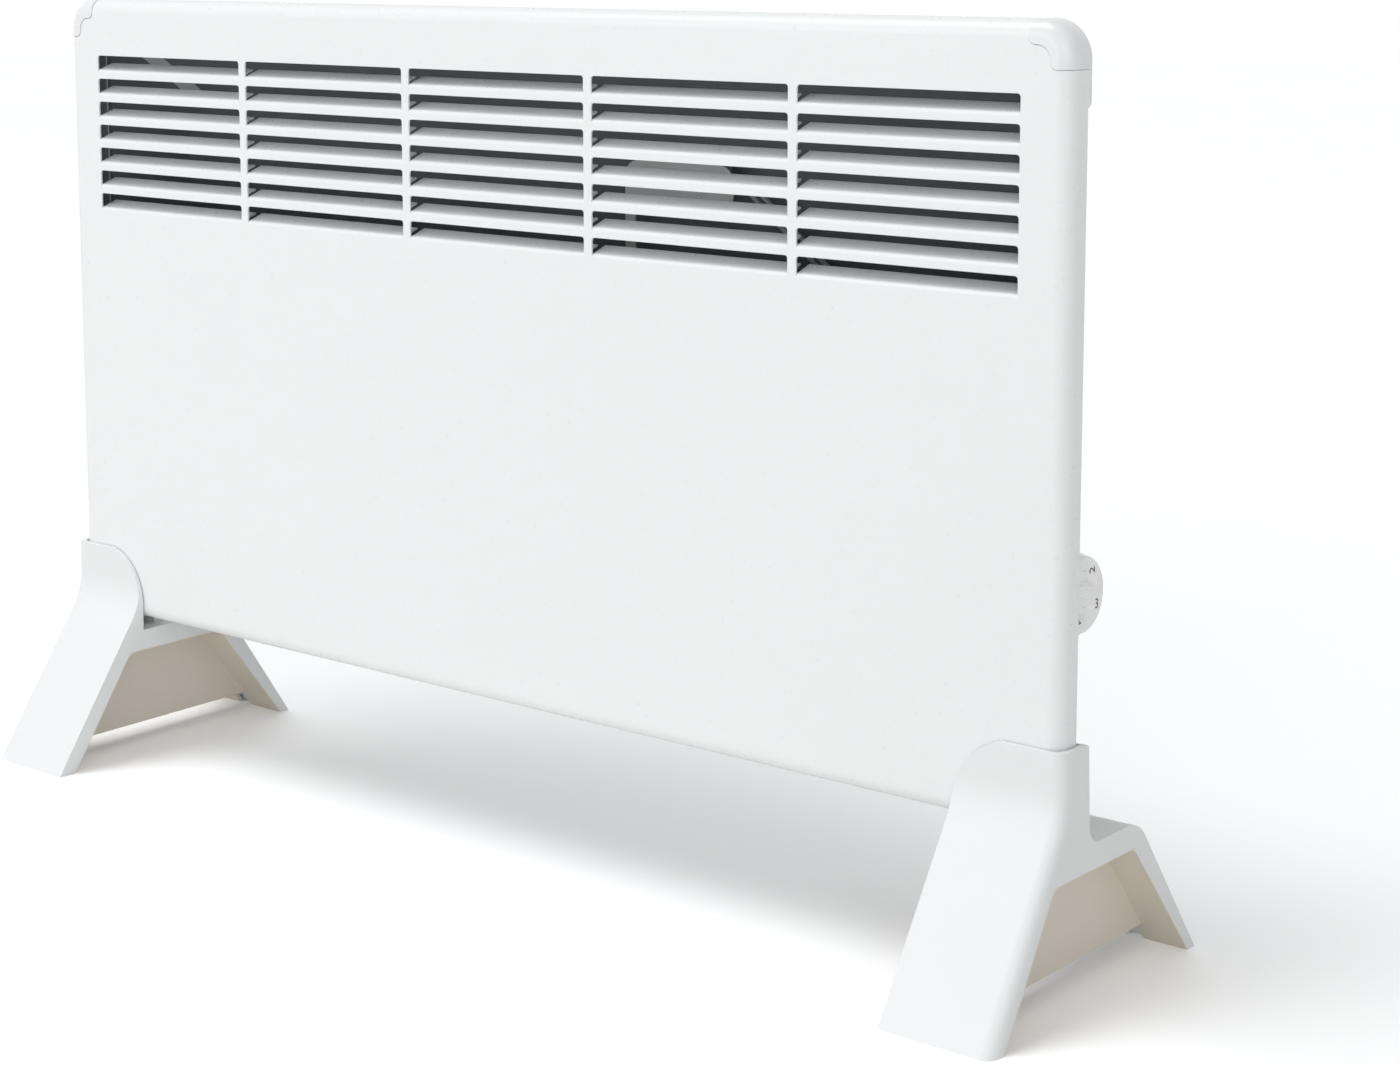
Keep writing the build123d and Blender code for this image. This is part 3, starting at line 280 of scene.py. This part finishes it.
def corner_tab(name, side, upper):
    """One tab: a bent profile drawn out along the corner's slope, with a rounded toe."""
    low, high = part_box("front_cover")
    rear_low, rear_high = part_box("rear_cover")
    turn = 1.0 if upper else -1.0
    edge_z = high.z - lip_inset if upper else low.z + lip_inset
    run = top_run if upper else bottom_run
    front_y, back_y = rear_low.y + rear_sheet, rear_high.y - rear_sheet
    slope = Vector((-side_run, back_y - front_y, -turn * run))
    radius = hip_radius - rear_sheet - tab_gap - tab_sheet / 2
    alone()
    bpy.ops.mesh.primitive_circle_add(vertices=72, radius=radius, rotation=(math.radians(90.0), 0.0, 0.0))
    tab = bpy.context.object
    tab.name = name
    bpy.ops.object.transform_apply(location=False, rotation=True, scale=False)
    quarter = math.radians(90.5)  # a little over a right angle, to keep the last vertex
    pick(
        tab,
        "VERT",
        lambda v: not tab_start_angle <= math.atan2(turn * v.co.z, v.co.x) <= quarter,
    )
    bpy.ops.mesh.delete(type="VERT")
    bpy.ops.object.mode_set(mode="OBJECT")
    pick(tab, "VERT", lambda v: abs(v.co.x) < 1e-5)
    bpy.ops.mesh.extrude_region_move(TRANSFORM_OT_translate={"value": (-tab_flat, 0.0, 0.0)})
    bpy.ops.mesh.select_all(action="SELECT")
    for step in range(tab_steps):
        bpy.ops.mesh.extrude_region_move(TRANSFORM_OT_translate={"value": slope * (tab_share / tab_steps)})
    bpy.ops.object.mode_set(mode="OBJECT")
    toe = min(v.co.x for v in tab.data.vertices)
    pick(tab, "VERT", lambda v: v.co.x < toe + 1e-5)
    bpy.ops.mesh.bevel(offset=tab_toe, segments=5, affect="VERTICES")
    bpy.ops.mesh.select_all(action="SELECT")
    bpy.ops.mesh.normals_make_consistent(inside=False)
    bpy.ops.object.mode_set(mode="OBJECT")
    sheet = tab.modifiers.new("sheet", "SOLIDIFY")
    sheet.thickness, sheet.offset = tab_sheet, 0.0
    bpy.ops.object.modifier_apply(modifier="sheet")
    finish_edges(tab, 0.12)
    start = Vector((high.x - lip_inset - hip_radius, front_y, edge_z - turn * hip_radius))
    matrix = Matrix.Translation(start + slope * tab_start)
    if side < 0:
        matrix = Matrix.Scale(-1.0, 4, Vector((1.0, 0.0, 0.0))) @ matrix
        tab.data.flip_normals()
    # The pale finish is the painted highlight.
    place_piece(tab, matrix, "casing", tab_painted_highlight)


for name, side, upper in (
    ("top_left", -1.0, True),
    ("bottom_left", -1.0, False),
    ("bottom_right", 1.0, False),
):
    corner_tab(f"corner_tab_{name}", side, upper)


# ---- heating element
# A sheathed tube in an extruded aluminium fin body, held at each end by a zinc-plated bracket.
# The brackets are riveted to the rear cover, and ceramic bushes carry the tube in them.

# Extruded aluminium: soft matt grey with long drawn lines along the fins.
fin_metal = surface(
    "extruded_aluminium", "#aeb1b3", 0.36, 1.2, 0.012, stretch=(60.0, 1.0, 1.0), shade=0.05, Metallic=1.0
)
dress(fin_metal, "heating_fins")

# Sheathed steel, heat-blued: dull and dark, with slow brown patches.
core_metal = surface("oxidised_steel_tube", "#6d6862", 0.5, 2.0, 0.01, shade=0.3, patch_mm=14.0, Metallic=0.9)
dress(core_metal, "element_core")

# Unglazed steatite: chalky cream with a fine pitted face.
steatite = surface("unglazed_steatite", "#e6e0d2", 0.75, 0.9, 0.03, shade=0.06, IOR=1.6)
dress(steatite, "element_bushes")

# Nickel-plated brass tabs: warm bright metal, slightly rolled along their length.
nickel = surface(
    "nickel_plated_tab", "#c7c2b4", 0.28, 0.8, 0.006, stretch=(8.0, 1.0, 1.0), shade=0.05, Metallic=1.0
)
dress(nickel, "element_terminals")

# Electroplated zinc: bluish bright grey, even, with a faint haze.
plated = surface("zinc_plated_steel", "#b9bdc1", 0.34, 2.2, 0.006, shade=0.1, patch_mm=18.0, Metallic=1.0)
dress(
    plated,
    "element_bracket_left",
    "element_bracket_right",
    "box_screws",
    "case_screws",
    "thermostat_spindle",
)

# Drawn aluminium rivets: pale satin metal.
rivet_metal = surface("drawn_aluminium", "#c4c6c8", 0.3, 0.8, 0.006, shade=0.05, Metallic=1.0)
dress(rivet_metal, "bracket_rivets")


# ---- thermal cut-out
# A pressed plate on a long leg holds a bimetal disc switch where the warm air rises.
# The plate is coated light grey and riveted to the back; an eyelet in its lower edge marks the fixing.

# Smooth epoxy coat over pressed steel: pale grey, satin, nearly even.
plate_coat = surface("pale_grey_epoxy_coat", "#cfd1d1", 0.4, 2.4, 0.008, shade=0.06, IOR=1.5)
dress(plate_coat, "cutout_bracket")

# Phenolic moulding: near-black brown with a faint mottle.
phenolic = surface("black_phenolic", "#2a2623", 0.45, 1.4, 0.012, shade=0.25, patch_mm=6.0, IOR=1.6)
dress(phenolic, "thermal_cutout", "thermostat_body")

eyelet_radius, eyelet_height, eyelet_rise = 0.0014, 0.0007, 0.0021
eyelet_rim, eyelet_chamfer, eyelet_bore = 0.45, 0.1, 0.6  # shares of its radius, radius and height
eyelet_offset = 0.014  # right of the disc's middle
plate_low, plate_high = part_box("cutout_bracket")
disc_low, disc_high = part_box("thermal_cutout")
disc_x = disc_low.x + (disc_high.z - disc_low.z) / 2
disc_z = (disc_low.z + disc_high.z) / 2
plate_bottom = disc_z - (plate_high.z - disc_z)
alone()
bpy.ops.mesh.primitive_cylinder_add(vertices=32, radius=eyelet_radius, depth=eyelet_height)
eyelet = bpy.context.object
eyelet.name = "cutout_eyelet"
pick(eyelet, "FACE", lambda face: face.normal.z > 0.9)
bpy.ops.mesh.inset(thickness=eyelet_radius * eyelet_rim, depth=0.0)
bpy.ops.mesh.inset(thickness=eyelet_radius * eyelet_chamfer, depth=-eyelet_height * eyelet_bore)
bpy.ops.object.mode_set(mode="OBJECT")
finish_edges(eyelet, 0.15)
face_front = Matrix.Rotation(math.radians(90.0), 4, "X")
eyelet_place = Matrix.Translation(
    (disc_x + eyelet_offset, plate_low.y - eyelet_height / 2, plate_bottom + eyelet_rise)
)
place_piece(eyelet, eyelet_place @ face_front, "casing", rivet_metal)


# ---- control box
# A moulded housing holds the thermostat, the switch and the terminals at the right-hand end.
# Two screws from the back hold it, and its flat lid slides on before the front cover closes.

# Flame-retardant polycarbonate blend: light warm grey, satin, fine eroded grain.
box_moulding = surface("light_grey_polycarbonate", "#c9cac8", 0.42, 1.2, 0.012, shade=0.03, IOR=1.58)
dress(box_moulding, "control_box", "control_box_lid")

# Natural nylon: translucent cream-white, waxy.
waxy = {"Subsurface Weight": 0.15, "Subsurface Scale": 0.002}
nylon = surface("natural_nylon", "#e9e5d8", 0.38, 1.6, 0.008, shade=0.05, IOR=1.53, **waxy)
dress(nylon, "terminal_block", "lead_clips")

# Grey nylon of the cord inlet and its nut: satin with a fine moulded grain.
gland_moulding = surface("grey_nylon", "#c2c3c2", 0.4, 1.0, 0.01, shade=0.04, IOR=1.53)
dress(gland_moulding, "cable_gland", "gland_nut")

# Turned brass: warm yellow metal with fine lathe rings.
brass = surface("turned_brass", "#c9a75c", 0.27, 0.7, 0.006, shade=0.12, patch_mm=5.0, Metallic=1.0)
dress(brass, "terminal_screws", "earth_stud")

# Silicone sleeving over glass braid: warm grey-white, dull, ribbed by the braid every millimetre.
sleeving = surface("silicone_glass_sleeving", "#b2b2b1", 0.62, 1.0, 0.05, shade=0.12, patch_mm=10.0, IOR=1.43)
dress(sleeving, "cutout_leads", "element_lead", "return_lead", "switch_leads")


def striped_insulation():
    """Green insulation with a yellow stripe that runs along the lead."""
    made = surface("green_yellow_insulation", "#3d7a35", 0.45, 1.2, 0.01, shade=0.08, IOR=1.5)
    tree = made.node_tree
    shader = tree.nodes["Principled BSDF"]
    plain = shader.inputs["Base Color"].links[0].from_socket
    place = add_node(tree, "ShaderNodeTexCoord").outputs["Object"]
    stripe = add_node(
        tree, "ShaderNodeTexWave", {"Vector": place, "Scale": 120.0, "Distortion": 1.0}, bands_direction="Z"
    )
    sharp = add_node(
        tree, "ShaderNodeMapRange", {"Value": stripe.outputs["Fac"], "From Min": 0.62, "From Max": 0.7}
    )
    two = add_node(
        tree,
        "ShaderNodeMix",
        {"Factor": sharp.outputs["Result"], 6: plain, 7: linear("#d9cf3a")},
        data_type="RGBA",
    )
    tree.links.new(two.outputs[2], shader.inputs["Base Color"])
    return made


dress(striped_insulation(), "earth_lead")


# ---- front cover
# Sheet-steel panel, rolled over at its edges and pierced with five columns of louvres.
# Each louvre is a tongue bent inwards out of its own slot. It is powder coated white after forming.

# Smooth white powder coat: bright, satin gloss, with the slow ripple of orange peel.
white_coat = surface(
    "white_powder_coat", "#f7f8f8", 0.3, 3.0, 0.006, shade=0.01, spread=0.03, patch_mm=90.0, IOR=1.5
)


def inner_tone(material, planes, shade_colour, edge=0.0004):
    """Paints shade into a material: a darker colour in a region, both ends of the heater alike.

    The region lies on the positive side of every plane: weights of |X|, Y and Z, and an offset in metres."""
    tree = material.node_tree
    shader = tree.nodes["Principled BSDF"]
    outer = shader.inputs["Base Color"].links[0].from_socket
    place = add_node(tree, "ShaderNodeTexCoord").outputs["Object"]
    axes = add_node(tree, "ShaderNodeSeparateXYZ", {"Vector": place})
    width = add_node(tree, "ShaderNodeMath", {0: axes.outputs["X"]}, operation="ABSOLUTE")
    folded = add_node(
        tree,
        "ShaderNodeCombineXYZ",
        {"X": width.outputs[0], "Y": axes.outputs["Y"], "Z": axes.outputs["Z"]},
    )
    depth = None
    for *weights, offset in planes:
        slope = add_node(
            tree,
            "ShaderNodeVectorMath",
            {0: folded.outputs[0], 1: tuple(weights)},
            operation="DOT_PRODUCT",
        )
        reach = add_node(tree, "ShaderNodeMath", {0: slope.outputs["Value"], 1: offset}, operation="ADD")
        if depth is None:
            depth = reach
        else:
            depth = add_node(
                tree, "ShaderNodeMath", {0: depth.outputs[0], 1: reach.outputs[0]}, operation="MINIMUM"
            )
    inside = add_node(
        tree, "ShaderNodeMapRange", {"Value": depth.outputs[0], "From Min": 0.0, "From Max": edge}
    )
    # Inside the region the colour is the painted shade.
    mixed = add_node(
        tree,
        "ShaderNodeMix",
        {"Factor": inside.outputs["Result"], 6: outer, 7: linear(shade_colour)},
        data_type="RGBA",
    )
    tree.links.new(mixed.outputs[2], shader.inputs["Base Color"])


# The inner face of the folded lip gets a grey painted shade, standing for the dim inside of the casing seen
# through the slots.
lip_shade_region = (
    (0.0, 1.0, 0.0, 0.0142),  # behind the louvre tongues
    (0.0, -1.0, 0.0, -0.0125),  # in front of the lip's rear face
    (-1.0, 0.0, 0.0, 0.3525),  # inside the side walls
)
# Paints the grey shade on the lip's inner face.
inner_tone(white_coat, lip_shade_region, "#a3a6a7")
dress(white_coat, "front_cover")


# ---- corner caps
# Moulded caps snap over the notched corners of the front cover and run on round its edge.
# They are white ABS, a shade greyer than the painted panel beside them.

# Moulded ABS: white, glossier than the paint, very fine grain.
cap_moulding = surface("white_moulded_abs", "#f1f2f3", 0.16, 1.6, 0.001, shade=0.008, spread=0.02, IOR=1.53)
dress(
    cap_moulding,
    "corner_cap_top_left",
    "corner_cap_top_right",
    "corner_cap_bottom_left",
    "corner_cap_bottom_right",
)

# Polyester film of the blank rating plate on the back: silvery white, satin.
film = surface("silver_white_film", "#cfd1d0", 0.32, 1.5, 0.002, shade=0.02, Metallic=0.3)
dress(film, "rating_label")


# ---- switch
# A snap-in rocker switch below the knob, its two faces dished to a middle line.
# The body and rocker are glossy white nylon, and the on and off marks are printed grey.

# Glossy moulded nylon: white with a soft sheen.
switch_moulding = surface("white_glossy_nylon", "#ececea", 0.2, 1.4, 0.003, shade=0.01, IOR=1.53)
dress(switch_moulding, "switch_body", "switch_rocker")

# Pad-printed ink: dark grey, matt, a little uneven where it is thin.
ink = surface("dark_grey_print", "#3b3d3f", 0.55, 0.6, 0.004, shade=0.15, patch_mm=2.0, IOR=1.5)
ink_thickness = 0.00008
capital_share = 0.7  # a capital's height over the font's size


def print_mark(name, letters, height, place, normal, turn, body):
    """Prints letters flat on a face that looks along normal, turned from upright."""
    alone()
    bpy.ops.object.text_add()
    mark = bpy.context.object
    mark.name = name
    mark.data.body = letters
    mark.data.size = height / capital_share
    mark.data.align_x, mark.data.align_y = "CENTER", "CENTER"
    mark.data.extrude = ink_thickness
    mark.data.resolution_u = 5
    bpy.ops.object.convert(target="MESH")
    mark = bpy.context.object
    mark.data.name = name
    low = [min(v.co[i] for v in mark.data.vertices) for i in (0, 1)]
    high = [max(v.co[i] for v in mark.data.vertices) for i in (0, 1)]
    middle = Matrix.Translation((-(low[0] + high[0]) / 2, -(low[1] + high[1]) / 2, 0.0))
    normal = Vector(normal).normalized()
    right = Vector((0.0, 0.0, 1.0)).cross(normal).normalized()
    turned = Matrix((right, normal.cross(right), normal)).transposed().to_4x4()
    matrix = Matrix.Translation(place) @ turned @ Matrix.Rotation(turn, 4, "Z") @ middle
    place_piece(mark, matrix, body, ink)


rocker_low, rocker_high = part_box("switch_rocker")
rocker_middle = (rocker_low + rocker_high) / 2
rocker_mark_height, rocker_mark_rise, clear_of_rocker = 0.0034, 0.0055, 0.02
for name, letters, rise in (
    ("rocker_mark_on", "I", rocker_mark_rise),
    ("rocker_mark_off", "O", -rocker_mark_rise),
):
    start = Vector((rocker_high.x + clear_of_rocker, rocker_middle.y, rocker_middle.z + rise))
    _, spot, normal, _ = nodes["switch_rocker"].ray_cast(start, Vector((-1.0, 0.0, 0.0)))
    print_mark(name, letters, rocker_mark_height, spot, normal, 0.0, "rocker")


# ---- knob
# The thermostat's knob: a hollow ABS moulding with a grip bar between two hollows in its face.
# Its settings 1 to 4 are printed round the rim, and it is pushed on to the spindle.

# Moulded ABS from a polished tool: white and glossy, finger-worn a little smoother in patches.
polish = {"Coat Weight": 0.9, "Coat Roughness": 0.09}
knob_moulding = surface(
    "white_knob_abs", "#fbfbfa", 0.26, 1.6, 0.0004, shade=0.006, spread=0.03, patch_mm=14.0, IOR=1.53,
    **polish,
)
dress(knob_moulding, "thermostat_knob")

knob_low, knob_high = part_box("thermostat_knob")
knob_axis = (knob_low + knob_high) / 2
numeral_height, numeral_radius = 0.0050, 0.0134
numeral_step, three_angle = math.radians(85.0), math.radians(-27.0)
for number in range(1, 5):
    angle = three_angle + (3 - number) * numeral_step
    spot = Vector(
        (
            knob_high.x,
            knob_axis.y + numeral_radius * math.cos(angle),
            knob_axis.z + numeral_radius * math.sin(angle),
        )
    )
    turn = angle - three_angle
    name = f"knob_numeral_{number}"
    print_mark(name, str(number), numeral_height, spot, (1.0, 0.0, 0.0), turn, "knob")


# ---- feet
# Two arched feet push on over the casing's lower edge from each end and grip it in a socket.
# Each is one hollow moulding of white polypropylene with a web across its arch.

# Moulded polypropylene: satin white; the inside of the arch gets a darker, warmer painted shade where less
# light reaches it.
foot_moulding = surface("white_polypropylene", "#f2f3f3", 0.38, 1.2, 0.008, shade=0.015, IOR=1.49)
arch_shade_region = (
    (0.0, 1.0, -0.68, 0.0852),  # inner face of the front leg
    (0.0, -1.0, -0.805, 0.0908),  # inner face of the rear leg
    (0.0, 0.0, -1.0, 0.0678),  # roof
    (-1.0, 0.0, -0.0305, 0.3675),  # just inside the outer side
    (1.0, 0.0, 0.018, -0.3040),  # just inside the inner side
)
# Paints the warm shade into the inside of each arch.
inner_tone(foot_moulding, arch_shade_region, "#e9e1d5")
dress(foot_moulding, "left_foot", "right_foot")
